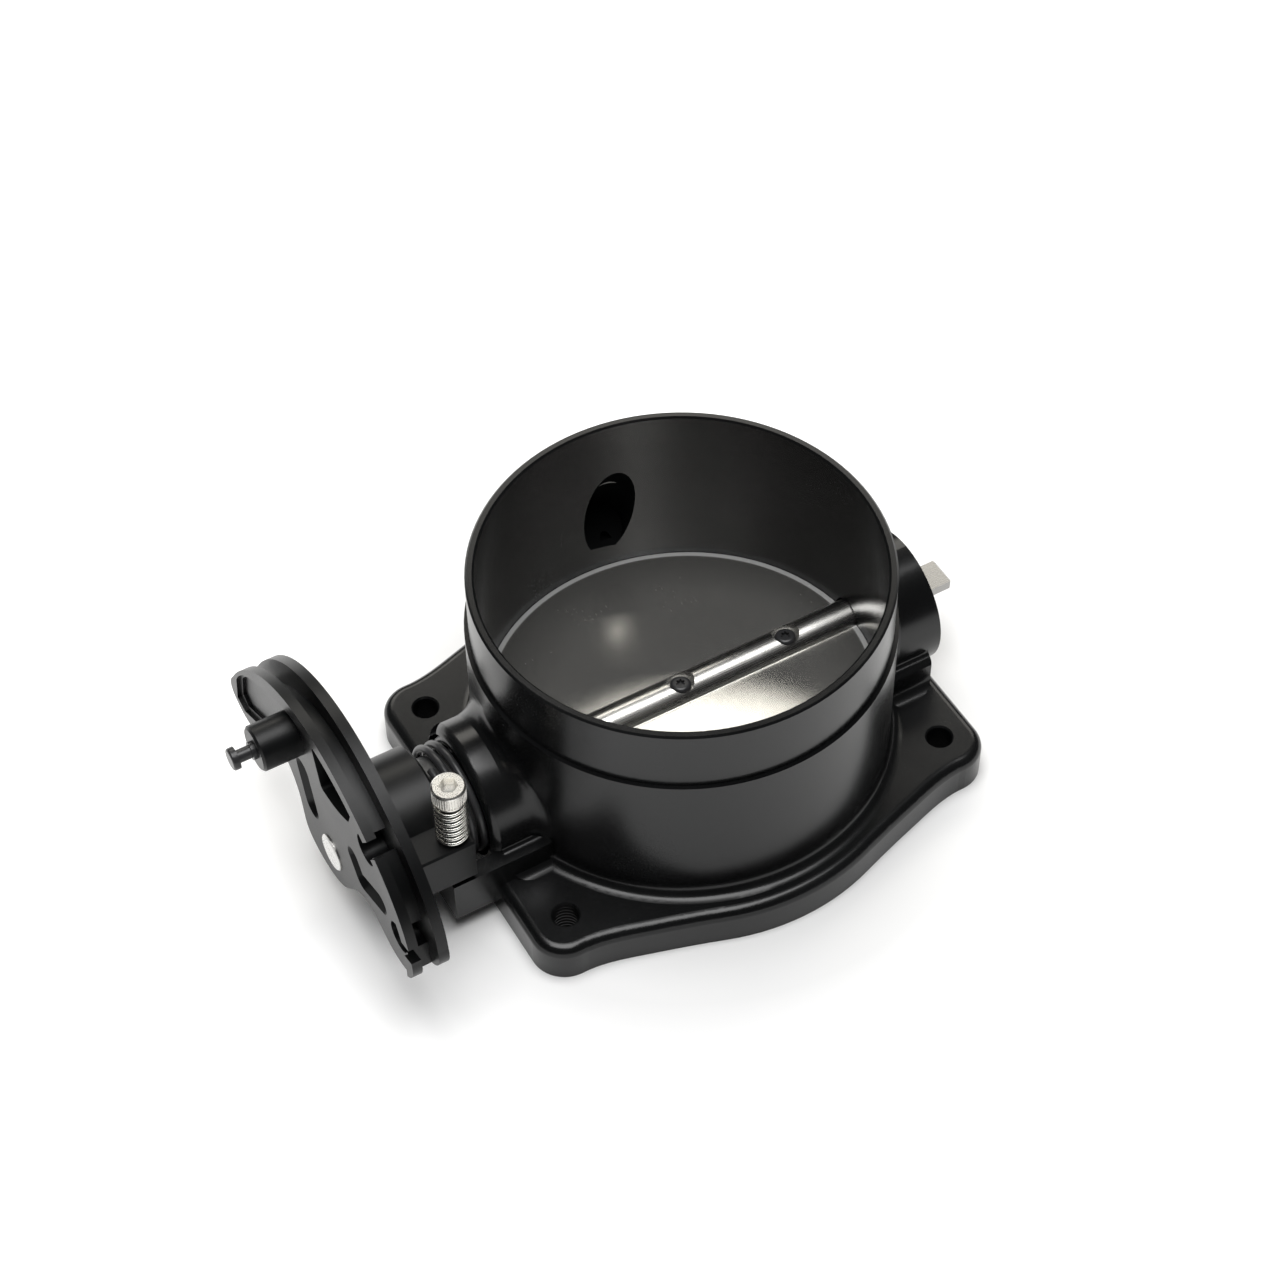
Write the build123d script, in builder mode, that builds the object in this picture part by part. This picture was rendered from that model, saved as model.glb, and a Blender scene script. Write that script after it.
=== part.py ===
from build123d import *
from math import atan2, cos, degrees, pi, radians, sin, sqrt
import os

# A cable-operated four-bolt throttle body, standing on its mounting flange.
# Millimetres.  Origin: bore axis at the flange's mounting face.  +Z runs up the
# bore to the air inlet, +X along the throttle shaft towards the sensor end, and
# -Y is the side with the idle stop.

os.makedirs("parts", exist_ok=True)

# ---------------------------------------------------------------- driving sizes
bore_r = 51.0              # 102 mm bore
spigot_r = 53.3            # thin-walled inlet spigot
barrel_r = 54.4
body_h = 72.5              # mounting face to inlet rim
ledge_z = 54.0             # foot of the inlet spigot
rim_chamfer = 0.5
flange_t = 11.0
flange_half_x = 66.0
bolt_x = 111.1             # flange holes, hole to hole
bolt_y = 76.2
bolt_hole_r = 3.3
shaft_z = 23.1             # height of the throttle shaft
shaft_r = 5.0
plate_tilt = 5.0           # closed plate, degrees from square to the bore
plate_t = 2.4
run_gap = 0.05             # radial clearance of a running fit

boss_r = 18.5              # round bosses that carry the shaft bearings
boss_x = (-65.0, 68.0)
buttress_y = 21.6          # half width of the blocks under the bosses
buttress_z = 18.8          # their top, and the top of the idle stop arm
arm_x = -78.0              # free end of the idle stop arm
arm_foot_z = 5.5

collar_r = 17.3            # round body of the stop lever
collar_x = (-91.2, -73.6)
block_y = -22.5            # front face of the lever's idle-screw block
block_z = (20.4, 34.0)
block_x = (-86.0, -71.4)
screw_x, screw_y = -75.1, -18.1

wheel_x = (-101.0, -91.2)  # front and rear faces of the cable wheel
shaft_x = (-100.6, 81.0)

bearing_r = 9.5            # 10 x 19 x 5 ball bearings
bearing_w = 5.0
bearing_x = 52.5           # inboard face of each bearing
seal_w = 4.0


shaft_axis = Axis((0, 0, shaft_z), (1, 0, 0))


def across(x):
    """Plane square to the shaft at x: local x is +Y, local y is +Z."""
    return Plane(origin=(x, 0, shaft_z), x_dir=(0, 1, 0), z_dir=(1, 0, 0))


def polar(radius, angle):
    """Point on a plane square to the shaft: 0 degrees is -Y, 90 is up."""
    return (-radius * cos(radians(angle)), radius * sin(radians(angle)))


def save(piece, name):
    piece.part.label = name
    export_step(piece.part, "parts/" + name + ".step")


# ---------------------------------------------------------------------- housing
corner_r = 9.0             # flange corners
belly_r = 62.0             # flange edge where it swells round the barrel
belly_x = 21.0
ear_y = 48.8
foot_r = 3.4               # concave rounding round the barrel, on the flange
edge_r = 2.8               # top edge of the flange
belly_y = sqrt(belly_r**2 - belly_x**2)
buttress_x = (-62.5, 64.5)
buttress_corner_r = 7.0
shelf_r = 1.5              # concave rounding between buttress top and boss
shelf_w = buttress_z - shaft_z
shelf_u = sqrt((boss_r + shelf_r)**2 - (shelf_w + shelf_r)**2)
shelf_end = (shelf_u * boss_r / (boss_r + shelf_r),
             (shelf_w + shelf_r) * boss_r / (boss_r + shelf_r))
boss_edge_r = (3.2, 2.0)   # rounding of the bosses' outer ends, left and right
boss_blend_r = 6.0         # where a boss meets the barrel
arm_y = (-22.2, -11.0)     # front and rear sides of the stop arm
arm_clear = 0.7            # stop arm to the lever's collar

recess_r = (12.0, 16.6)    # annular pocket for the return spring
recess_floor_x = -56.5
hub_end_x = -64.0          # tube inside the spring that holds the left bearing
notch_angle = 143          # slot in the pocket's wall for the spring's fixed leg
notch_size = (7.0, 4.0)
shaft_hole_r = 5.6

circlip_w = 1.0
circlip_groove_r = 10.0
sensor_recess_r = 11.0
sensor_recess_depth = 2.0
sensor_screw_y = 14.2      # tapped holes for the position sensor
sensor_hole_r = 1.65
sensor_hole_depth = 9.0

port_point = (7.3, 50.5, 39.8)     # idle-air inlet, drilled slantwise from the bore
port_r = 7.0
port_slant = 29                    # degrees between the drilling and the bore wall
port_lean = 4
port_length = 11.0
port_link_r = 1.8
port_link_y = (52.2, 64.0)         # level hole from the drilling's floor to the valve bore
port_link_z = 27.5
idle_boss_w = 34.0
idle_boss_y = 68.0                 # rear face
idle_boss_top = 47.0
idle_boss_slope = 11.0
idle_valve_r = 10.0
idle_valve_z = 25.0
idle_valve_depth = 5.0
idle_outlet_r = 4.5
idle_outlet_y = 61.5
idle_tap_spacing = 26.0
idle_tap_r = 1.65
idle_tap_depth = 8.0

tapped_r = 3.325           # the flange hole beside the idle stop is tapped M8
thread_pitch = 1.25
thread_depth = 0.62
thread_count = 8
mouth_r = 3.75

# buttresses under the shaft bosses: one section, with the ends rounded in plan
with BuildPart() as buttresses:
    with BuildSketch(across(buttress_x[0])):
        with BuildLine():
            Line((0, boss_r), (0, -shaft_z))
            Polyline((0, -shaft_z), (buttress_y + foot_r, -shaft_z),
                     (buttress_y + foot_r, flange_t - shaft_z))
            RadiusArc((buttress_y + foot_r, flange_t - shaft_z),
                      (buttress_y, flange_t + foot_r - shaft_z), foot_r)
            Polyline((buttress_y, flange_t + foot_r - shaft_z), (buttress_y, shelf_w - 0.6),
                     (buttress_y - 0.6, shelf_w), (shelf_u, shelf_w))
            RadiusArc((shelf_u, shelf_w), shelf_end, shelf_r)
            ThreePointArc(shelf_end, (boss_r * sin(pi / 4), boss_r * cos(pi / 4)), (0, boss_r))
        make_face()
        mirror(about=Plane.YZ)
    extrude(amount=buttress_x[1] - buttress_x[0])
    with BuildSketch():
        with Locations((sum(buttress_x) / 2, 0)):
            RectangleRounded(buttress_x[1] - buttress_x[0], 2 * (buttress_y + foot_r),
                             buttress_corner_r)
    extrude(amount=shaft_z + boss_r, mode=Mode.INTERSECT)

# barrel and round bosses with the large concave rounding where they meet,
# kept above the buttresses
with BuildPart() as boss_blends:
    with BuildSketch():
        Circle(barrel_r)
    extrude(amount=ledge_z)
    with BuildSketch(across(-bearing_x - bearing_w)):
        Circle(boss_r)
    extrude(amount=2 * (bearing_x + bearing_w))
    fillet(boss_blends.edges().filter_by(lambda e: e.geom_type not in (
        GeomType.CIRCLE, GeomType.LINE)), boss_blend_r)
    with BuildSketch():
        Circle(2 * barrel_r)
    extrude(amount=buttress_z, mode=Mode.SUBTRACT)

with BuildPart() as housing:
    with BuildSketch() as flange_outline:
        with BuildLine():
            swell = ThreePointArc((-belly_x, -belly_y), (0, -belly_r), (belly_x, -belly_y))
            blend = Spline(swell @ 1, (42.0, -51.6), (55.0, -ear_y),
                           tangents=[(belly_y, belly_x), (1, 0.06)])
            Polyline(blend @ 1, (flange_half_x, -ear_y), (flange_half_x, 0))
            mirror(about=Plane.YZ)
            mirror(about=Plane.XZ)
        make_face()
        fillet(flange_outline.vertices().filter_by(
            lambda v: abs(v.X) > flange_half_x - 1 and abs(v.Y) > ear_y - 1), corner_r)
    extrude(amount=flange_t)
    fillet(housing.faces().sort_by(Axis.Z)[-1].edges(), edge_r)

    # barrel, with a concave foot on the flange
    with BuildSketch(Plane.XZ):
        with BuildLine():
            foot = RadiusArc((barrel_r, flange_t + foot_r), (barrel_r + foot_r, flange_t), -foot_r)
            Polyline(foot @ 1, (barrel_r + foot_r, flange_t - edge_r), (0, flange_t - edge_r),
                     (0, ledge_z), (barrel_r, ledge_z), foot @ 0)
        make_face()
    revolve(axis=Axis.Z)

    add(buttresses.part)
    add(boss_blends.part)

    # round bosses for the bearings
    with BuildSketch(Plane.XZ) as boss_section:
        with Locations((sum(boss_x) / 2, shaft_z + boss_r / 2)):
            Rectangle(boss_x[1] - boss_x[0], boss_r)
        fillet(boss_section.vertices().group_by(Axis.Z)[-1].sort_by(Axis.X)[0], boss_edge_r[0])
        fillet(boss_section.vertices().group_by(Axis.Z)[-1].sort_by(Axis.X)[-1], boss_edge_r[1])
    revolve(axis=shaft_axis)

    # fixed arm that the idle screw rests on, cleared round the lever's collar
    with BuildSketch(Plane.XY.offset(arm_foot_z)):
        with Locations(((arm_x - bore_r) / 2, sum(arm_y) / 2)):
            Rectangle(-arm_x - bore_r, arm_y[1] - arm_y[0])
    extrude(amount=buttress_z - arm_foot_z)
    with BuildSketch(across(arm_x)):
        Circle(collar_r + arm_clear)
    extrude(amount=boss_x[0] - arm_x, mode=Mode.SUBTRACT)

    # boss for the idle-air valve, at the back
    with BuildSketch(Plane.YZ.offset(port_point[0] - idle_boss_w / 2)) as idle_boss:
        Polygon((bore_r - 6, 0), (idle_boss_y, 0), (idle_boss_y, idle_boss_top - idle_boss_slope),
                (idle_boss_y - idle_boss_slope, idle_boss_top), (bore_r - 6, idle_boss_top),
                align=None)
        fillet(idle_boss.vertices().filter_by(lambda v: v.X > bore_r and v.Y > 1), 3)
    extrude(amount=idle_boss_w)

    # inlet spigot and the bore
    with BuildSketch(Plane.XZ):
        Polygon((0, ledge_z), (spigot_r, ledge_z), (spigot_r, body_h - rim_chamfer),
                (spigot_r - rim_chamfer, body_h), (0, body_h), align=None)
    revolve(axis=Axis.Z)
    with BuildSketch(Plane.XZ):
        Polygon((0, 0), (bore_r, 0), (bore_r, body_h - rim_chamfer),
                (bore_r + rim_chamfer, body_h), (0, body_h), align=None)
    revolve(axis=Axis.Z, mode=Mode.SUBTRACT)

    # shaft hole, bearing pockets and circlip grooves
    with BuildSketch(across(boss_x[0])):
        Circle(shaft_hole_r)
    extrude(amount=boss_x[1] - boss_x[0], mode=Mode.SUBTRACT)
    for near, far in ((bearing_x, boss_x[1]), (boss_x[0], -bearing_x)):
        with BuildSketch(across(near)):
            Circle(bearing_r)
        extrude(amount=far - near, mode=Mode.SUBTRACT)
    for x in (bearing_x + bearing_w + seal_w, -bearing_x - bearing_w - seal_w - circlip_w):
        with BuildSketch(across(x)):
            Circle(circlip_groove_r)
        extrude(amount=circlip_w, mode=Mode.SUBTRACT)

    # spring pocket, its inner tube cut back, and the slot for the spring's leg
    with BuildSketch(across(boss_x[0])):
        Circle(recess_r[1])
        Circle(recess_r[0], mode=Mode.SUBTRACT)
    extrude(amount=recess_floor_x - boss_x[0], mode=Mode.SUBTRACT)
    with BuildSketch(across(boss_x[0])):
        Circle(recess_r[0])
    extrude(amount=hub_end_x - boss_x[0], mode=Mode.SUBTRACT)
    with BuildSketch(across(boss_x[0])):
        with Locations(polar(recess_r[1], notch_angle)):
            SlotOverall(notch_size[0], notch_size[1], rotation=90 - notch_angle)
    extrude(amount=recess_floor_x - boss_x[0], mode=Mode.SUBTRACT)

    # seat and screw holes for the position sensor
    with BuildSketch(across(boss_x[1])):
        Circle(sensor_recess_r)
    extrude(amount=-sensor_recess_depth, mode=Mode.SUBTRACT)
    with BuildSketch(across(boss_x[1])):
        with Locations((-sensor_screw_y, 0), (sensor_screw_y, 0)):
            Circle(sensor_hole_r)
    extrude(amount=-sensor_hole_depth, mode=Mode.SUBTRACT)

    # idle-air passage: slant drilling, valve bore, outlet, valve screw holes
    slant = Plane(origin=port_point, x_dir=(1, 0, 0), z_dir=(
        sin(radians(-port_lean)), sin(radians(port_slant)), -cos(radians(port_slant))))
    with BuildSketch(slant.offset(-2 * port_r)):
        Circle(port_r)
    extrude(amount=port_length + 2 * port_r, mode=Mode.SUBTRACT)
    with BuildSketch(Plane(origin=(port_point[0], port_link_y[0], port_link_z),
                           x_dir=(1, 0, 0), z_dir=(0, 1, 0))):
        Circle(port_link_r)
    extrude(amount=port_link_y[1] - port_link_y[0], mode=Mode.SUBTRACT)
    valve_face = Plane(origin=(port_point[0], idle_boss_y, idle_valve_z),
                       x_dir=(1, 0, 0), z_dir=(0, -1, 0))
    with BuildSketch(valve_face):
        Circle(idle_valve_r)
    extrude(amount=idle_valve_depth, mode=Mode.SUBTRACT)
    with BuildSketch(valve_face):
        with Locations((-idle_tap_spacing / 2, 8), (idle_tap_spacing / 2, -8)):
            Circle(idle_tap_r)
    extrude(amount=idle_tap_depth, mode=Mode.SUBTRACT)
    with BuildSketch():
        with Locations((port_point[0], idle_outlet_y)):
            Circle(idle_outlet_r)
    extrude(amount=idle_valve_z, mode=Mode.SUBTRACT)

    # flange holes: three clearance holes and one tapped hole
    with BuildSketch():
        with GridLocations(bolt_x, bolt_y, 2, 2):
            Circle(bolt_hole_r)
    extrude(amount=flange_t, mode=Mode.SUBTRACT)
    with BuildSketch(Plane.XY.offset(flange_t)):
        with GridLocations(bolt_x, bolt_y, 2, 2):
            Circle(mouth_r)
    extrude(amount=bolt_hole_r - mouth_r, taper=45, mode=Mode.SUBTRACT)
    tapped_x, tapped_y = -bolt_x / 2, -bolt_y / 2
    with BuildSketch():
        with Locations((tapped_x, tapped_y)):
            Circle(tapped_r)
    extrude(amount=flange_t, mode=Mode.SUBTRACT)
    with BuildSketch(Plane.XZ.offset(-tapped_y)):
        with Locations([(tapped_x + tapped_r, flange_t - (i + 0.8) * thread_pitch)
                        for i in range(thread_count)]):
            Polygon((-0.1, -thread_pitch * 0.45), (thread_depth, 0), (-0.1, thread_pitch * 0.45),
                    align=None)
    revolve(axis=Axis((tapped_x, tapped_y, 0), (0, 0, 1)), mode=Mode.SUBTRACT)
save(housing, "housing")

# --------------------------------------------------------------- throttle shaft
tang_w, tang_t = 8.4, 2.8  # flat that drives the position sensor
tang_x = 66.0
slot_gap = 0.03            # plate to the shaft's slot, each side
slot_half_x = 51.6
screw_pitch = 31.7         # three plate screws, M3
screw_r = 1.5
head_r, head_h = 2.85, 1.65
head_seat = 2.3            # height of the head's seat above the plate's middle
counterbore_r = 3.7
screw_foot = -3.9

plate_plane = Plane(origin=(0, 0, shaft_z)).rotated((-plate_tilt, 0, 0))
plate_screws_at = [(-screw_pitch, 0), (0, 0), (screw_pitch, 0)]

with BuildPart() as throttle_shaft:
    with BuildSketch(across(shaft_x[0])):
        Circle(shaft_r)
    extrude(amount=tang_x - shaft_x[0])
    chamfer(throttle_shaft.edges().filter_by(GeomType.CIRCLE), 0.3)
    with BuildSketch(across(tang_x - 1)):
        Rectangle(tang_w, tang_t)
    extrude(amount=shaft_x[1] - tang_x + 1)
    chamfer(throttle_shaft.faces().sort_by(Axis.X)[-1].edges(), 0.5)
    with BuildSketch(plate_plane):
        Rectangle(2 * slot_half_x, 4 * shaft_r)
    extrude(amount=plate_t / 2 + slot_gap, both=True, mode=Mode.SUBTRACT)
    with BuildSketch(plate_plane):
        with Locations(plate_screws_at):
            Circle(screw_r + run_gap)
    extrude(amount=shaft_r, both=True, mode=Mode.SUBTRACT)
    with BuildSketch(plate_plane.offset(head_seat)):
        with Locations(plate_screws_at):
            Circle(counterbore_r)
    extrude(amount=shaft_r, mode=Mode.SUBTRACT)
save(throttle_shaft, "throttle_shaft")

# --------------------------------------------------------------- throttle plate
# Cut by a cylinder along the bore, so its slanting edge closes against the wall.
plate_gap = 0.12
plate_hole_r = 1.7

with BuildPart() as throttle_plate:
    with BuildSketch():
        Circle(bore_r - plate_gap)
    extrude(amount=2 * shaft_z)
    with BuildSketch(plate_plane):
        Rectangle(3 * bore_r, 3 * bore_r)
    extrude(amount=plate_t / 2, both=True, mode=Mode.INTERSECT)
    with BuildSketch(plate_plane):
        with Locations(plate_screws_at):
            Circle(plate_hole_r)
    extrude(amount=plate_t, both=True, mode=Mode.SUBTRACT)
save(throttle_plate, "throttle_plate")

# ----------------------------------------------------------------- plate screws
# Button heads with a six-lobed socket.
socket_r, socket_lobe_r, socket_lobe_at, socket_depth = 0.85, 0.3, 0.95, 0.9

with BuildPart() as plate_screws:
    with BuildSketch(plate_plane.offset(head_seat)):
        with Locations(plate_screws_at):
            Circle(head_r)
    extrude(amount=head_h)
    fillet(plate_screws.faces().group_by(Axis.Z)[-1].edges(), 1.1)
    with BuildSketch(plate_plane.offset(screw_foot)):
        with Locations(plate_screws_at):
            Circle(screw_r)
    extrude(amount=head_seat - screw_foot)
    with BuildSketch(plate_plane.offset(head_seat + head_h)):
        for centre in plate_screws_at:
            with Locations(centre):
                Circle(socket_r)
                with PolarLocations(socket_lobe_at, 6):
                    Circle(socket_lobe_r)
    extrude(amount=-socket_depth, mode=Mode.SUBTRACT)
save(plate_screws, "plate_screws")

# --------------------------------------------------- bearings, seals, circlips
# Deep-groove ball bearings: rings, cage and balls are separate pieces.
fit_gap = 0.02             # light fit, parts that don't turn on each other
pitch_r = 7.25
ball_r = 1.15
groove_r = 1.2
ball_count = 9
inner_ring_r = (shaft_r + fit_gap, 6.5)
outer_ring_r = (8.0, bearing_r - fit_gap)
cage_r = (6.75, 7.75)
cage_w = 3.4
cage_hole_r = 1.22
ring_chamfer = 0.3
seal_lip_w = 1.2
seal_web_w = 1.0
seal_band_r = 8.3
circlip_r = (8.2, 9.95)
circlip_play = 0.05

for side, outer_face in (("left", -bearing_x - bearing_w), ("right", bearing_x)):
    middle = outer_face + bearing_w / 2
    for name, (r_in, r_out) in (("inner_ring", inner_ring_r), ("outer_ring", outer_ring_r)):
        with BuildPart() as ring:
            with BuildSketch(across(outer_face)):
                Circle(r_out)
                Circle(r_in, mode=Mode.SUBTRACT)
            extrude(amount=bearing_w)
            chamfer(ring.edges().filter_by(GeomType.CIRCLE), ring_chamfer)
            with BuildSketch(Plane.XZ):
                with Locations((middle, shaft_z + pitch_r)):
                    Circle(groove_r)
            revolve(axis=shaft_axis, mode=Mode.SUBTRACT)
        save(ring, side + "_bearing_" + name)
    with BuildPart() as balls:
        with Locations(across(middle)):
            with PolarLocations(pitch_r, ball_count):
                Sphere(ball_r)
    save(balls, side + "_bearing_balls")
    with BuildPart() as cage:
        with BuildSketch(across(middle)):
            Circle(cage_r[1])
            Circle(cage_r[0], mode=Mode.SUBTRACT)
        extrude(amount=cage_w / 2, both=True)
        with Locations(across(middle)):
            with PolarLocations(pitch_r, ball_count):
                Cylinder(cage_hole_r, 4, rotation=(0, 90, 0), mode=Mode.SUBTRACT)
    save(cage, side + "_bearing_cage")

for side, direction in (("left", -1), ("right", 1)):
    seal_face = direction * (bearing_x + bearing_w)
    with BuildPart() as seal:
        with BuildSketch(across(seal_face)):
            Circle(bearing_r - fit_gap)
            Circle(seal_band_r, mode=Mode.SUBTRACT)
        extrude(amount=direction * (seal_w - fit_gap))
        with BuildSketch(across(seal_face + direction * 1.5)):
            Circle(bearing_r - fit_gap)
            Circle(shaft_r + run_gap, mode=Mode.SUBTRACT)
        extrude(amount=direction * seal_web_w)
        with BuildSketch(across(seal_face + direction * 1.5)):
            Circle(shaft_r + run_gap + seal_lip_w)
            Circle(shaft_r + run_gap, mode=Mode.SUBTRACT)
        extrude(amount=direction * 2.2)
    save(seal, side + "_shaft_seal")
    with BuildPart() as circlip:
        with BuildSketch(across(seal_face + direction * (seal_w + circlip_play / 2))):
            Circle(circlip_r[1])
            Circle(circlip_r[0], mode=Mode.SUBTRACT)
            with Locations((0, -circlip_r[1])):
                Rectangle(3.6, 5, mode=Mode.SUBTRACT)
            for u in (-3.1, 3.1):
                with Locations((u, -circlip_r[0] + 0.2)):
                    Circle(1.3)
                    Circle(0.6, mode=Mode.SUBTRACT)
        extrude(amount=direction * (circlip_w - circlip_play))
    save(circlip, side + "_bearing_circlip")

# ---------------------------------------------------------------- return spring
spring_r = 14.4
spring_wire_r = 1.05
spring_x = (-71.6, -58.0)
spring_turns = 5 - 80 / 360  # ends where its leg points into the slot
spring_leg = 7.6

with BuildPart() as return_spring:
    with BuildLine():
        coil = Helix((spring_x[1] - spring_x[0]) / spring_turns, spring_x[1] - spring_x[0],
                     spring_r, center=(spring_x[0], 0, shaft_z), direction=(1, 0, 0))
        leg = Line(coil @ 1, (coil @ 1) + (coil % 1) * spring_leg)
    with BuildSketch(Plane(origin=coil @ 0, z_dir=coil % 0)):
        Circle(spring_wire_r)
    sweep()
save(return_spring, "return_spring")

with BuildPart() as spring_bushing:
    with BuildSketch(across(collar_x[1] + fit_gap)):
        Circle(12.6)
        Circle(shaft_r + fit_gap, mode=Mode.SUBTRACT)
    extrude(amount=hub_end_x - 0.8 - collar_x[1])
    chamfer(spring_bushing.edges().filter_by(GeomType.CIRCLE).sort_by(SortBy.RADIUS)[-2:], 0.5)
save(spring_bushing, "spring_bushing")

# ------------------------------------------------------------------- stop lever
# Collar, the block that carries the idle screw, and a lug for full throttle.
collar_chamfer = 0.7
block_end_clear = 16.6     # past the collar, the block keeps clear of the spring
idle_screw_r = 2.5
throttle_travel = 82       # degrees from idle stop to full-throttle stop
lug_x = (-84.0, -75.0)
lug_face = arm_foot_z - shaft_z - 0.15
grub_x = -82.5
grub_r = 2.5
grub_end = 12.0
dowel_r = 1.5
dowel_at = [polar(11.5, 40), polar(11.5, 220)]
dowel_x = (-95.0, -86.0)

with BuildPart() as stop_lever:
    with BuildSketch(across(collar_x[0])):
        Circle(collar_r)
    extrude(amount=collar_x[1] - collar_x[0])
    chamfer(stop_lever.edges().filter_by(GeomType.CIRCLE), collar_chamfer)
    with BuildSketch(Plane.XY.offset(block_z[0])):
        with Locations(((block_x[0] + block_x[1]) / 2, (block_y - 6) / 2)):
            Rectangle(block_x[1] - block_x[0], -block_y - 6)
    extrude(amount=block_z[1] - block_z[0])
    chamfer(stop_lever.edges().filter_by(Axis.X).sort_by(Axis.Y)[:2], 0.5)
    with BuildSketch(across(collar_x[1])):
        Circle(block_end_clear)
    extrude(amount=5, mode=Mode.SUBTRACT)
    # full-throttle lug, drawn where it meets the stop arm and turned back to idle
    with BuildSketch(Plane(origin=(lug_x[0], 0, shaft_z), z_dir=(1, 0, 0), x_dir=(
            0, cos(radians(throttle_travel)), sin(radians(throttle_travel))))) as lug:
        Polygon((-17, lug_face), (-6, lug_face), (-6, -10), (4, -10), (4, -18), (-8, -22.5),
                (-17, -22.5), align=None)
        fillet(lug.vertices(), 0.6)
    extrude(amount=lug_x[1] - lug_x[0])
    with BuildSketch(across(collar_x[0])):
        Circle(shaft_r + fit_gap)
    extrude(amount=collar_x[1] - collar_x[0], mode=Mode.SUBTRACT)
    with BuildSketch(Plane.XY.offset(arm_foot_z)):
        with Locations((screw_x, screw_y)):
            Circle(idle_screw_r + run_gap)
    extrude(amount=block_z[1] - arm_foot_z, mode=Mode.SUBTRACT)
    with BuildSketch(Plane.XZ.offset(-collar_r - 1)):
        with Locations((grub_x, shaft_z)):
            Circle(grub_r + fit_gap)
    extrude(amount=collar_r, mode=Mode.SUBTRACT)
    with BuildSketch(across(collar_x[0])):
        with Locations(dowel_at):
            Circle(dowel_r + fit_gap)
    extrude(amount=dowel_x[1] - collar_x[0] + fit_gap, mode=Mode.SUBTRACT)
save(stop_lever, "stop_lever")

with BuildPart() as lever_grub_screw:
    with BuildSketch(Plane.XZ.offset(-shaft_r - fit_gap)):
        with Locations((grub_x, shaft_z)):
            Circle(grub_r)
    extrude(amount=-(grub_end - shaft_r))
    with BuildSketch(Plane.XZ.offset(-grub_end)):
        with Locations((grub_x, shaft_z)):
            RegularPolygon(1.25, 6, major_radius=False)
    extrude(amount=2.5, mode=Mode.SUBTRACT)
save(lever_grub_screw, "lever_grub_screw")

with BuildPart() as lever_dowels:
    with BuildSketch(across(dowel_x[0])):
        with Locations(dowel_at):
            Circle(dowel_r)
    extrude(amount=dowel_x[1] - dowel_x[0])
    chamfer(lever_dowels.edges().filter_by(GeomType.CIRCLE), 0.3)
save(lever_dowels, "lever_dowels")

# ------------------------------------------------------------------- idle screw
# M5 socket-head screw with a knurled head, resting on the stop arm.
cap_r, cap_h = 4.25, 5.0
cap_z = 49.5               # underside of the head
hex_width, hex_depth = 4.2, 2.6
knurl_count = 40
knurl_r = 0.22
tip_gap = 0.05

with BuildPart() as idle_screw:
    with BuildSketch(Plane.XY.offset(cap_z)):
        with Locations((screw_x, screw_y)):
            Circle(cap_r)
    extrude(amount=cap_h)
    with BuildSketch(Plane.XY.offset(cap_z + 0.4)):
        with Locations((screw_x, screw_y)):
            with PolarLocations(cap_r, knurl_count):
                Circle(knurl_r)
    extrude(amount=cap_h - 1.2, mode=Mode.SUBTRACT)
    chamfer(idle_screw.faces().sort_by(Axis.Z)[-1].edges(), 0.4)
    with BuildSketch(Plane.XY.offset(cap_z + cap_h)):
        with Locations((screw_x, screw_y)):
            RegularPolygon(hex_width / 2, 6, major_radius=False, rotation=30)
    extrude(amount=-hex_depth, mode=Mode.SUBTRACT)
    with BuildSketch(Plane.XY.offset(buttress_z + tip_gap)):
        with Locations((screw_x, screw_y)):
            Circle(idle_screw_r)
    extrude(amount=cap_z - buttress_z - tip_gap)
    chamfer(idle_screw.faces().sort_by(Axis.Z)[0].edges(), 0.6)
save(idle_screw, "idle_screw")

idle_coil_r = 3.75
idle_wire_r = 0.5
idle_turns = 7.5

with BuildPart() as idle_spring:
    with BuildLine():
        idle_rise = cap_z - block_z[1] - 2 * idle_wire_r - 0.1
        idle_coil = Helix(idle_rise / idle_turns, idle_rise, idle_coil_r,
                          center=(screw_x, screw_y, block_z[1] + idle_wire_r + 0.05))
    with BuildSketch(Plane(origin=idle_coil @ 0, z_dir=idle_coil % 0)):
        Circle(idle_wire_r)
    sweep()
save(idle_spring, "idle_spring")

# ------------------------------------------------------------------ cable wheel
# The outline is drawn square to the shaft.  The cable arc grows towards the rear,
# and the lower edge runs from the rear tip under the hub to the front tip.
groove_x = (-98.4, -94.0)
groove_depth = (6.5, 6.5, 6.5, 6.5, 6.5, 6.5, 5.0)   # one for each point of the cable arc
cable_arc = ((48.0, 13), (48.6, 28), (46.5, 58), (46.4, 90), (47.4, 122), (49.8, 145), (54.6, 166))
rear_tip = (55.0, 5.0)
lower_edge = [(46.0, 1.6), (25.5, 11.5), (18.0, 2.5), (15.2, -8.5), (6.5, -11.8), (-5.0, -8.6),
              (-14.5, 0.8), (-22.0, 3.4), (-29.0, 0.8), (-36.5, -0.6)]
front_tip = (-45.8, 4.6)
groove_ends = ((-52.0, -43.0), (61.0, 53.0))  # mouth and floor where the groove runs out
web_x = -100.0             # face of the web and hub, behind the rim's ring
ring_arc = ((44.6, 16), (44.2, 30), (42.4, 58), (42.2, 95), (43.4, 125), (45.6, 139), (48.9, 150),
            (52.6, 164))
web_edge = [(52.2, 5.6), (48.0, 4.4), (27.0, 15.4), (27.0, -15.0), (-43.5, -15.0)]
rear_arc = ((41.6, 119), (42.6, 127), (44.7, 139), (48.0, 150), (51.2, 161))
rear_pocket = [(50.2, 8.4), (47.6, 6.4), (25.5, 18.0), (22.0, 26.0)]
rear_depth = 0.9
pocket_depth = 3.0
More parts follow.
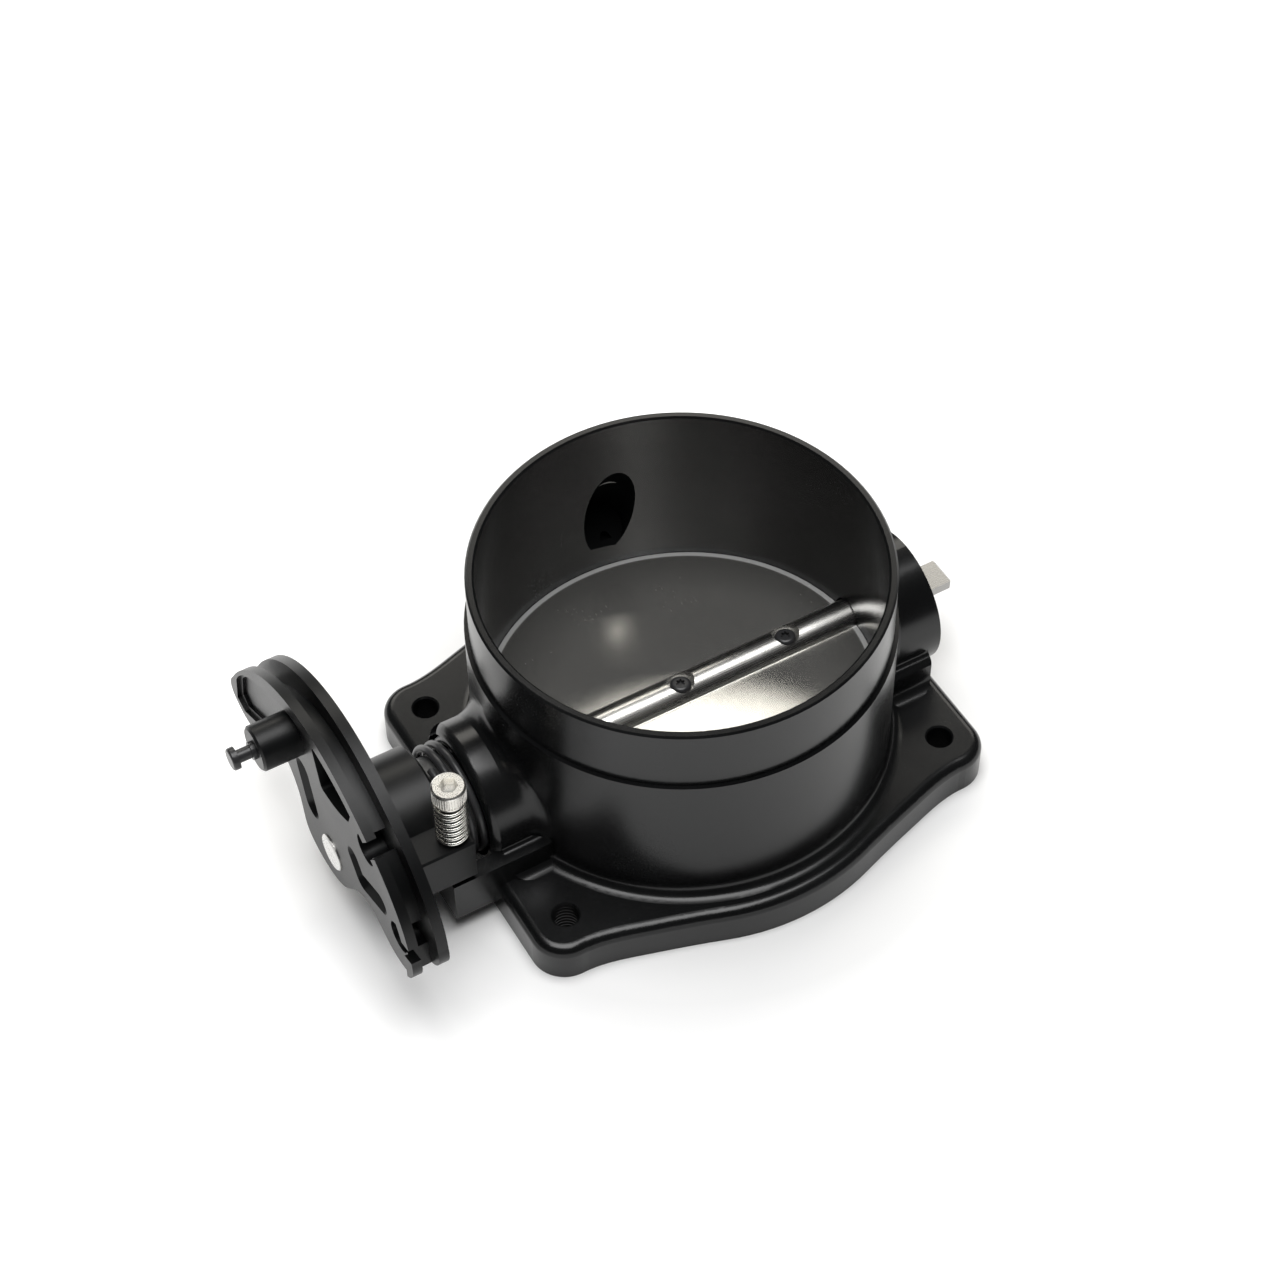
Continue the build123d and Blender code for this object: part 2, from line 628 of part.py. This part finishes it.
pocket_taper = 32          # slope of the two milled pockets beside the hub
pockets = (((12.9, 18.6), (10.0, 7.4), 7.2), ((-14.6, 15.0), (-18.0, 10.0), 6.4),
           ((-18.0, 10.0), (-29.0, 14.0), 6.4))      # centres of the two ends, and width
window = [(4.2, 38.1), (-16.6, 34.5), (-14.6, 29.6), (1.2, 25.2)]
nipple_r, nipple_slot = 4.2, 4.4
nipple_at = ((37.2, 51), (39.8, 16.5))
stud_at = (15.0, 31.5)
stud_root_r = 3.0
stud_root_x = -96.0

with BuildPart() as cable_wheel:
    with BuildSketch(across(wheel_x[0])):
        with BuildLine():
            arc = Spline(*[polar(radius, angle) for radius, angle in cable_arc])
            Spline(arc @ 1, rear_tip, *lower_edge, front_tip, arc @ 0)
        make_face()
    extrude(amount=wheel_x[1] - wheel_x[0])
    with BuildSketch(across(groove_x[0])):
        with BuildLine():
            mouth = Spline((groove_ends[0][0], -3), *[polar(radius + 2, angle) for radius, angle
                                                      in cable_arc], (groove_ends[1][0], -3))
            floor = Spline((groove_ends[0][1], -3), *[
                polar(radius - depth, angle) for (radius, angle), depth in
                zip(cable_arc, groove_depth)], (groove_ends[1][1], -3))
            Line(mouth @ 0, floor @ 0)
            Line(mouth @ 1, floor @ 1)
        make_face()
    extrude(amount=groove_x[1] - groove_x[0], mode=Mode.SUBTRACT)
    for curve, corners, start, depth in ((ring_arc, web_edge, wheel_x[0], web_x - wheel_x[0]),
                                         (rear_arc, rear_pocket, web_x, rear_depth)):
        with BuildSketch(across(start)):
            with BuildLine():
                outer = Spline(*[polar(radius, angle) for radius, angle in curve])
                Polyline(outer @ 1, *corners, outer @ 0)
            make_face()
        extrude(amount=depth, mode=Mode.SUBTRACT)
    for start, end, width in pockets:
        run = Vector(*end) - Vector(*start)
        with BuildSketch(across(web_x)):
            with Locations((Vector(*start) + Vector(*end)) / 2):
                SlotCenterToCenter(run.length, width, rotation=degrees(atan2(run.Y, run.X)))
        extrude(amount=pocket_depth, taper=pocket_taper, mode=Mode.SUBTRACT)
    with BuildSketch(across(wheel_x[0])) as opening:
        with BuildLine():
            ThreePointArc(window[0], polar(38.4, 80), window[1])
            Line(window[1], window[2])
            ThreePointArc(window[2], (-7.0, 26.2), window[3])
            Line(window[3], window[0])
        make_face()
        fillet(opening.vertices(), 1.5)
    extrude(amount=wheel_x[1] - wheel_x[0], mode=Mode.SUBTRACT)
    for radius, angle in nipple_at:
        with BuildSketch(across(wheel_x[0])):
            with Locations(polar(radius, angle)):
                Circle(nipple_r)
        extrude(amount=groove_x[1] - wheel_x[0], mode=Mode.SUBTRACT)
        with BuildSketch(across(wheel_x[0])):
            with Locations(Location((*polar(radius + 10, angle), 0), (0, 0, 180 - angle))):
                Rectangle(20, nipple_slot)
        extrude(amount=groove_x[0] - wheel_x[0], mode=Mode.SUBTRACT)
    with BuildSketch(across(wheel_x[0])):
        Circle(shaft_r + fit_gap)
    extrude(amount=wheel_x[1] - wheel_x[0], mode=Mode.SUBTRACT)
    with BuildSketch(across(wheel_x[0])):
        with Locations(stud_at):
            Circle(stud_root_r + fit_gap)
    extrude(amount=stud_root_x - wheel_x[0], mode=Mode.SUBTRACT)
    with BuildSketch(across(dowel_x[0] - fit_gap)):
        with Locations(dowel_at):
            Circle(dowel_r + fit_gap)
    extrude(amount=wheel_x[1] - dowel_x[0] + fit_gap, mode=Mode.SUBTRACT)
save(cable_wheel, "cable_wheel")

# ------------------------------------------------- linkage stud and its pin
stud_r = 6.0
stud_end_x = -110.6
pin_r, pin_collar_r, pin_head_r = 1.7, 2.4, 2.9
pin_collar_w, pin_head_w = 1.0, 1.8
pin_end_x = -117.0
pin_root_x = -106.0

with BuildPart() as linkage_stud:
    with BuildSketch(across(stud_end_x)):
        with Locations(stud_at):
            Circle(stud_r)
    extrude(amount=web_x - stud_end_x)
    chamfer(linkage_stud.faces().sort_by(Axis.X)[0].edges(), 0.6)
    with BuildSketch(across(web_x)):
        with Locations(stud_at):
            Circle(stud_root_r)
    extrude(amount=stud_root_x - web_x - fit_gap)
    with BuildSketch(across(stud_end_x)):
        with Locations(stud_at):
            Circle(pin_r + fit_gap)
    extrude(amount=pin_root_x - stud_end_x, mode=Mode.SUBTRACT)
save(linkage_stud, "linkage_stud")

with BuildPart() as linkage_pin:
    for start, end, radius in ((pin_end_x, pin_root_x - fit_gap, pin_r),
                               (stud_end_x - pin_collar_w, stud_end_x, pin_collar_r),
                               (pin_end_x, pin_end_x + pin_head_w, pin_head_r)):
        with BuildSketch(across(start)):
            with Locations(stud_at):
                Circle(radius)
        extrude(amount=end - start)
    fillet(linkage_pin.faces().sort_by(Axis.X)[0].edges(), 0.6)
save(linkage_pin, "linkage_pin")
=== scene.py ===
"""Looks for a packed throttle body: anodised housing, brushed plate and shaft, cable wheel.

Materials, lights, floor and camera.  Every CAD node keeps its own shape and gets a
node material; the edges of the machined pieces are rounded with bevel modifiers.
Lengths are in metres and angles in degrees.
"""
import math

import bpy
from mathutils import Matrix, Vector


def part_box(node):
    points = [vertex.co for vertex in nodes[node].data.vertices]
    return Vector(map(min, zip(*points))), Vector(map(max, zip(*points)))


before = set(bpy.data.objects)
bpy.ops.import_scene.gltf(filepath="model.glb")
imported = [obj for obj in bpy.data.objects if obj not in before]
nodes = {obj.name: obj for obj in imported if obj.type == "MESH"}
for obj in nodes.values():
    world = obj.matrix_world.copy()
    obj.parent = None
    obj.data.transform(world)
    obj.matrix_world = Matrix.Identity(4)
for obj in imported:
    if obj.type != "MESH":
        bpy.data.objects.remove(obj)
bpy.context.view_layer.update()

# ------------------------------------------------------------------ named places
PLATE_SHEEN_LAND = 0.00168             # width of the pale ring round the plate's edge: a turned land with a painted highlight
PLATE_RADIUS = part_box("throttle_plate")[1].x

SHAFT_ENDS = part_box("throttle_shaft")
FACED_END_X = SHAFT_ENDS[0].x + 0.0003
TANG_X = SHAFT_ENDS[1].x - 0.0105

IDLE_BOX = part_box("idle_screw")
IDLE_AXIS = (IDLE_BOX[0] + IDLE_BOX[1]) / 2
IDLE_HEAD_Z = IDLE_BOX[1].z - 0.0051
IDLE_SHANK_R = 0.0028            # a little over the thread, well inside the head
IDLE_PITCH = 0.0008

BORE_R = 0.051
PORT_MOUTH = (0.0073, 0.0505, 0.0398)           # where the idle-air drilling meets the bore
PORT_DIRECTION = (-0.0698, 0.4836, -0.8725)     # down and away from the bore
PORT_R = 0.0071
PORT_REACH = 0.0635              # the drilling ends inside this distance from the bore axis

# the footprint of the painted shade that the flange casts on the floor, as half sizes
SHADE_X, SHADE_Y = 0.0635, 0.0463

# machined pieces and the widths of their broken edges
EDGE_WIDTHS = (("cable_wheel", 0.00035), ("stop_lever", 0.0003), ("linkage_stud", 0.0002),
               ("throttle_shaft", 0.0002))
HOUSING_EDGE = 0.00025


# ------------------------------------------------------------------ node helpers
class Shader:
    """A node tree that is built by short calls."""

    def __init__(self, name):
        self.material = bpy.data.materials.new(name)
        self.material.use_nodes = True
        self.tree = self.material.node_tree
        self.tree.nodes.clear()
        self.out = self.tree.nodes.new("ShaderNodeOutputMaterial")
        self.bsdf = self.tree.nodes.new("ShaderNodeBsdfPrincipled")
        self.tree.links.new(self.bsdf.outputs[0], self.out.inputs["Surface"])
        self.coord = self.tree.nodes.new("ShaderNodeTexCoord").outputs["Object"]

    def link(self, source, target):
        self.tree.links.new(source, target)

    def put(self, node, name, value):
        socket = node.inputs[name]
        if isinstance(value, bpy.types.NodeSocket):
            self.link(value, socket)
        else:
            socket.default_value = value

    def math(self, operation, first, second=0.0):
        node = self.tree.nodes.new("ShaderNodeMath")
        node.operation = operation
        self.put(node, 0, first)
        self.put(node, 1, second)
        return node.outputs[0]

    def sum(self, first, second):
        return self.math("ADD", first, second)

    def times(self, first, second):
        return self.math("MULTIPLY", first, second)

    def swing(self, middle, *waves):
        """A middle value that noise moves up and down: each wave is (noise, how far)."""
        for noise, reach in waves:
            middle = self.sum(middle, self.times(self.math("SUBTRACT", noise, 0.5), reach))
        return middle

    def axis(self, name, vector=None):
        node = self.tree.nodes.new("ShaderNodeSeparateXYZ")
        self.link(self.coord if vector is None else vector, node.inputs[0])
        return node.outputs[name]

    def vector(self, operation, first, second=None):
        node = self.tree.nodes.new("ShaderNodeVectorMath")
        node.operation = operation
        self.put(node, 0, first)
        if second is not None:
            self.put(node, 1, second)
        return node

    def combine(self, x, y, z):
        node = self.tree.nodes.new("ShaderNodeCombineXYZ")
        for index, value in enumerate((x, y, z)):
            self.put(node, index, value)
        return node.outputs[0]

    def scale(self, factors):
        return self.vector("MULTIPLY", self.coord, factors).outputs[0]

    def length(self, x, y):
        return self.math("SQRT", self.sum(self.times(x, x), self.times(y, y)))

    def bore_radius(self):
        """Distance from the bore axis."""
        return self.length(self.axis("X"), self.axis("Y"))

    def noise(self, scale, detail=3.0, roughness=0.5, vector=None):
        node = self.tree.nodes.new("ShaderNodeTexNoise")
        self.link(self.coord if vector is None else vector, node.inputs["Vector"])
        node.inputs["Scale"].default_value = scale
        node.inputs["Detail"].default_value = detail
        node.inputs["Roughness"].default_value = roughness
        return node.outputs["Fac"]

    def remap(self, value, low_in, high_in, low_out, high_out):
        node = self.tree.nodes.new("ShaderNodeMapRange")
        node.clamp = True
        for index, number in enumerate((value, low_in, high_in, low_out, high_out)):
            self.put(node, index, number)
        return node.outputs[0]

    def mix(self, factor, first, second):
        node = self.tree.nodes.new("ShaderNodeMix")
        node.data_type = "RGBA"
        self.put(node, "Factor", factor)
        self.put(node, "A", first if not isinstance(first, tuple) else (*first, 1))
        self.put(node, "B", second if not isinstance(second, tuple) else (*second, 1))
        return node.outputs["Result"]

    def bump(self, height, distance, strength=1.0, normal=None):
        node = self.tree.nodes.new("ShaderNodeBump")
        node.inputs["Strength"].default_value = strength
        node.inputs["Distance"].default_value = distance
        self.link(height, node.inputs["Height"])
        if normal is not None:
            self.link(normal, node.inputs["Normal"])
        return node.outputs[0]

    def edge(self, radius):
        """1 on edges, 0 on flats: how far the rounded normal leaves the true one."""
        bevel = self.tree.nodes.new("ShaderNodeBevel")
        bevel.samples = 4
        bevel.inputs["Radius"].default_value = radius
        geometry = self.tree.nodes.new("ShaderNodeNewGeometry")
        dot = self.vector("DOT_PRODUCT", bevel.outputs[0], geometry.outputs["Normal"])
        return self.remap(dot.outputs["Value"], 0.98, 0.75, 0.0, 1.0)

    def normal(self):
        return self.tree.nodes.new("ShaderNodeNewGeometry").outputs["Normal"]


def black_anodised(name, turned=True, roughness=0.24, index=1.42, tint=(0.0034, 0.0036, 0.0038)):
    """Black anodised aluminium: fine turning lines on the round walls, milling on flats."""
    s = Shader(name)
    z = s.axis("Z")
    nz = s.math("ABSOLUTE", s.axis("Z", s.normal()))
    wall = s.remap(nz, 0.25, 0.1, 0.0, 1.0)
    flat = s.remap(nz, 0.9, 0.98, 0.0, 1.0)
    # cloudiness of the coat
    cloud = s.noise(38, 4, 0.6)
    speck = s.noise(2600, 2, 0.5)
    # turning lines round the bore axis: noise that changes along Z only
    lines = s.noise(1.0, 2, 0.7, s.combine(0.0, 0.0, s.times(z, 5200)))
    # end-face rings on turned pieces, end-mill swirls on milled ones
    if turned:
        marks = s.noise(1.0, 2, 0.6, s.combine(s.times(s.bore_radius(), 2600), 0.0, 0.0))
    else:
        marks = s.noise(1.0, 2, 0.5, s.scale((420, 2600, 900)))
    s.put(s.bsdf, "Base Color", s.mix(s.remap(cloud, 0.35, 0.7, 0.0, 1.0), tint,
                                      tuple(c * 1.7 for c in tint)))
    rough = s.swing(roughness, (cloud, 0.12), (speck, 0.10))
    worn = s.times(s.edge(0.0006), s.remap(s.noise(900, 3, 0.6), 0.5, 0.75, 0.0, 0.5))
    s.put(s.bsdf, "Roughness", s.math("SUBTRACT", rough, s.times(worn, 0.1)))
    s.bsdf.inputs["IOR"].default_value = index
    height = s.sum(s.times(s.times(lines, wall), 1.0 if turned else 0.25),
                   s.times(s.times(marks, flat), 0.35))
    fine = s.bump(height, 0.00001, 0.5)
    s.put(s.bsdf, "Normal", s.bump(speck, 0.000012, 0.35, fine))
    return s


def brushed_metal(name, colour, roughness, along, grain=4000, depth=0.000006, stain=0.12):
    """Bright metal with brush lines that run along one axis."""
    s = Shader(name)
    stretch = [grain, grain, grain]
    stretch["XYZ".index(along)] = grain / 70
    lines = s.noise(1.0, 3, 0.65, s.scale(tuple(stretch)))
    cloud = s.noise(55, 4, 0.6)
    s.put(s.bsdf, "Base Color", s.mix(s.remap(cloud, 0.3, 0.75, 0.0, 1.0), colour,
                                      tuple(c * (1 - stain) for c in colour)))
    s.bsdf.inputs["Metallic"].default_value = 1.0
    s.put(s.bsdf, "Roughness", s.swing(roughness, (lines, 0.18), (cloud, 0.1)))
    s.put(s.bsdf, "Normal", s.bump(lines, depth, 0.6))
    return s


def milled_ends(s, left_x, right_x):
    """Rougher, greyer milled tang past right_x and a pale faced end past left_x."""
    x = s.axis("X")
    tang = s.math("GREATER_THAN", x, right_x)
    faced = s.math("LESS_THAN", x, left_x)
    base = s.bsdf.inputs["Base Color"].links[0].from_socket
    toned = s.mix(tang, base, (0.33, 0.325, 0.315))
    s.put(s.bsdf, "Base Color", s.mix(faced, toned, (0.92, 0.91, 0.88)))
    s.put(s.bsdf, "Metallic", s.remap(faced, 0.0, 1.0, 1.0, 0.15))


def brushed_plate(name, edge_r):
    """Brushed throttle plate: soft glossy metal with a paler land round its edge, partly a painted
    highlight.
    """
    s = Shader(name)
    lines = s.noise(1.0, 3, 0.65, s.scale((3800, 60, 3800)))
    cloud = s.noise(45, 4, 0.6)
    # painted highlight: the paler, less metallic edge ring stands in for the bright reflection
    # there, on a turned land
    land_and_sheen = s.remap(s.bore_radius(), edge_r, edge_r + 0.0005, 0.0, 1.0)
    body = s.mix(s.remap(cloud, 0.3, 0.75, 0.0, 1.0), (0.69, 0.68, 0.645), (0.61, 0.60, 0.57))
    s.put(s.bsdf, "Base Color", s.mix(land_and_sheen, body, (0.86, 0.86, 0.85)))
    s.put(s.bsdf, "Metallic", s.remap(land_and_sheen, 0.0, 1.0, 0.94, 0.6))
    s.put(s.bsdf, "Roughness", s.swing(0.245, (lines, 0.10), (cloud, 0.06)))
    s.put(s.bsdf, "Normal", s.bump(lines, 0.0000003, 0.12))
    return s.material


def plated_screw(name, centre, shank_r, head_z, pitch):
    """Bright plated screw: a darker threaded shank below a bright head, the dark being painted
    shade from the spring round it.
    """
    s = Shader(name)
    z = s.axis("Z")
    dx = s.math("SUBTRACT", s.axis("X"), centre.x)
    dy = s.math("SUBTRACT", s.axis("Y"), centre.y)
    # painted shade: the shank inside the idle spring is coloured dark, as the shadow between the
    # coils
    shank = s.times(s.math("LESS_THAN", z, head_z),
                    s.math("LESS_THAN", s.length(dx, dy), shank_r))
    turn = s.math("DIVIDE", s.math("ARCTAN2", dy, dx), 2 * math.pi)
    wave = s.math("SINE", s.times(s.math("SUBTRACT", s.math("DIVIDE", z, pitch), turn),
                                  2 * math.pi))
    grain = s.noise(5200, 2, 0.5)
    bright, painted_spring_shade = (0.90, 0.88, 0.83), (0.10, 0.095, 0.085)
    s.put(s.bsdf, "Base Color", s.mix(shank, bright, painted_spring_shade))
    s.bsdf.inputs["Metallic"].default_value = 1.0
    s.put(s.bsdf, "Roughness", s.remap(grain, 0.3, 0.7, 0.25, 0.32))
    thread = s.bump(s.times(wave, shank), 0.0003)
    s.put(s.bsdf, "Normal", s.bump(grain, 0.000002, 0.3, thread))
    return s.material


def blacken_drilling(s, mouth, direction, radius):
    """Take the gloss out of a drilled hole as painted shade, so that it reads dark like a passage
    running on into darkness.
    """
    from_mouth = s.vector("SUBTRACT", s.coord, mouth).outputs[0]
    off_axis = s.vector("LENGTH", s.vector("CROSS_PRODUCT", from_mouth, direction).outputs[0])
    near = s.math("LESS_THAN", off_axis.outputs["Value"], radius)
    outside_bore = s.math("GREATER_THAN", s.bore_radius(), BORE_R + 0.00002)
    inside = s.times(s.times(near, outside_bore), s.math("LESS_THAN", s.bore_radius(), PORT_REACH))
    s.put(s.bsdf, "Specular IOR Level", s.times(s.math("SUBTRACT", 1.0, inside), 0.5))


def moulded(name, colour, roughness, grain=1400, depth=0.00003):
    """Moulded rubber or nylon: fine pebbled skin."""
    s = Shader(name)
    cloud = s.noise(90, 4, 0.6)
    pebble = s.noise(grain, 3, 0.6)
    s.put(s.bsdf, "Base Color", s.mix(cloud, colour, tuple(c * 1.6 for c in colour)))
    s.put(s.bsdf, "Roughness", s.remap(pebble, 0.3, 0.7, roughness - 0.1, roughness + 0.1))
    s.put(s.bsdf, "Normal", s.bump(pebble, depth, 0.5))
    return s.material


def bevel(node, width, segments=3, angle=30):
    modifier = nodes[node].modifiers.new("edge", "BEVEL")
    modifier.width = width
    modifier.segments = segments
    modifier.limit_method = "ANGLE"
    modifier.angle_limit = math.radians(angle)
    modifier.harden_normals = False


def dress(names, material):
    for name in names:
        mesh = nodes[name].data
        mesh.materials.clear()
        mesh.materials.append(material)


housing_skin = black_anodised("black_anodised_housing")
blacken_drilling(housing_skin, PORT_MOUTH, PORT_DIRECTION, PORT_R)
housing_look = housing_skin.material
lever_look = black_anodised("black_anodised_lever", turned=False, roughness=0.36,
                            index=1.32).material
plate_look = brushed_plate("brushed_plate", PLATE_RADIUS - PLATE_SHEEN_LAND)
ground_steel = brushed_metal("ground_shaft", (0.72, 0.71, 0.68), 0.27, "X", grain=5200)
milled_ends(ground_steel, FACED_END_X, TANG_X)
shaft_look = ground_steel.material
steel_look = brushed_metal("polished_steel", (0.62, 0.62, 0.61), 0.16, "X", grain=3000).material
wire_look = brushed_metal("drawn_wire", (0.80, 0.79, 0.74), 0.24, "Z", grain=4200, depth=0.000001,
                          stain=0.05).material
zinc_look = plated_screw("bright_plating", IDLE_AXIS, IDLE_SHANK_R, IDLE_HEAD_Z, IDLE_PITCH)
screw_look = black_anodised("black_oxide", turned=False, roughness=0.3,
                            tint=(0.02, 0.02, 0.021)).material
brass_look = brushed_metal("cage_brass", (0.72, 0.52, 0.24), 0.3, "X").material
rubber_look = moulded("seal_rubber", (0.012, 0.012, 0.012), 0.6)
nylon_look = moulded("bushing_nylon", (0.03, 0.03, 0.03), 0.45)

dress(["housing"], housing_look)
dress(["stop_lever", "cable_wheel", "linkage_stud"], lever_look)
dress(["linkage_pin"], screw_look)
dress(["throttle_plate"], plate_look)
dress(["throttle_shaft"], shaft_look)
dress(["plate_screws", "lever_grub_screw"], screw_look)
dress(["lever_dowels"], steel_look)
dress(["idle_screw"], zinc_look)
dress(["idle_spring"], wire_look)
dress(["return_spring"], screw_look)
dress(["spring_bushing"], nylon_look)
for side in ("left", "right"):
    dress([side + "_bearing_inner_ring", side + "_bearing_outer_ring",
           side + "_bearing_balls"], steel_look)
    dress([side + "_bearing_cage"], brass_look)
    dress([side + "_shaft_seal"], rubber_look)
    dress([side + "_bearing_circlip"], steel_look)

for node, width in EDGE_WIDTHS:
    bevel(node, width)
bevel("housing", HOUSING_EDGE, segments=2, angle=50)


# ------------------------------------------------------------------ stage
def add_floor():
    """A wide sheet of pale paper that glows softly away from the part, as in a light tent."""
    bpy.ops.mesh.primitive_grid_add(x_subdivisions=2, y_subdivisions=2, size=6)
    floor = bpy.context.object
    floor.name = "floor"
    s = Shader("pale_floor")
    paper = s.noise(30, 3, 0.5)
    bare = s.mix(paper, (0.86, 0.86, 0.86), (0.89, 0.89, 0.885))
    # painted shade: the paper is coloured near black under the flange, so no light comes up its
    # clearance holes; the tapped hole in the front left corner keeps its light, which shows its
    # thread
    across = s.math("DIVIDE", s.math("ABSOLUTE", s.axis("X")), SHADE_X)
    along = s.math("DIVIDE", s.math("ABSOLUTE", s.axis("Y")), SHADE_Y)
    painted_shade = s.remap(s.math("MAXIMUM", across, along), 0.94, 1.0, 1.0, 0.0)
    tapped = s.times(s.math("LESS_THAN", s.axis("X"), -SHADE_X / 2),
                     s.math("LESS_THAN", s.axis("Y"), -SHADE_Y / 2))
    painted_shade = s.times(painted_shade, s.math("SUBTRACT", 1.0, tapped))
    s.put(s.bsdf, "Base Color", s.mix(painted_shade, bare, (0.01, 0.01, 0.01)))
    s.bsdf.inputs["Roughness"].default_value = 0.6
    s.put(s.bsdf, "Normal", s.bump(s.noise(900, 2, 0.5), 0.00002, 0.2))
    s.bsdf.inputs["Emission Color"].default_value = (1, 1, 1, 1)
    s.put(s.bsdf, "Emission Strength", s.remap(s.bore_radius(), 0.08, 0.13, 0.0, 0.45))
    floor.data.materials.append(s.material)


def soft_light(name, place, target, size, power, colour=(1, 1, 1)):
    data = bpy.data.lights.new(name, "AREA")
    data.shape = "RECTANGLE"
    data.size, data.size_y = size
    data.energy = power
    data.color = colour
    lamp = bpy.data.objects.new(name, data)
    lamp.location = place
    lamp.rotation_euler = (Vector(target) - Vector(place)).to_track_quat("-Z", "Y").to_euler()
    bpy.context.scene.collection.objects.link(lamp)


add_floor()
soft_light("overhead_softbox", (-0.1, -0.1, 2.2), (0, 0, 0), (1.6, 1.6), 56)
soft_light("back_softbox", (0.58, 1.12, 1.03), (0, 0, 0.03), (1.9, 0.52), 10.5, (1, 0.97, 0.90))

world = bpy.data.worlds.new("studio")
bpy.context.scene.world = world
world.use_nodes = True
world.node_tree.nodes["Background"].inputs[0].default_value = (1, 1, 1, 1)
world.node_tree.nodes["Background"].inputs[1].default_value = 0.06

bpy.context.scene.view_settings.view_transform = "Standard"


# ------------------------------------------------------------------ camera
def add_camera(place, azimuth, elevation, roll, lens):
    """A camera at place that looks down by the elevation, from the azimuth round +Z."""
    a, e, r = (math.radians(v) for v in (azimuth, elevation, roll))
    back = Vector((math.sin(a) * math.cos(e), -math.cos(a) * math.cos(e), math.sin(e)))
    right = Vector((math.cos(a), math.sin(a), 0))
    up = back.cross(right)
    right, up = (math.cos(r) * right + math.sin(r) * up,
                 math.cos(r) * up - math.sin(r) * right)
    data = bpy.data.cameras.new("camera")
    data.lens = lens
    data.sensor_width = 36
    data.clip_start, data.clip_end = 0.01, 30
    camera = bpy.data.objects.new("camera", data)
    camera.matrix_world = Matrix((
        (right.x, up.x, back.x, place[0]),
        (right.y, up.y, back.y, place[1]),
        (right.z, up.z, back.z, place[2]),
        (0, 0, 0, 1),
    ))
    bpy.context.scene.collection.objects.link(camera)
    bpy.context.scene.camera = camera


add_camera((-0.2383, -0.4042, 0.6067), -29.25, 50.15, -0.83, 81.5)
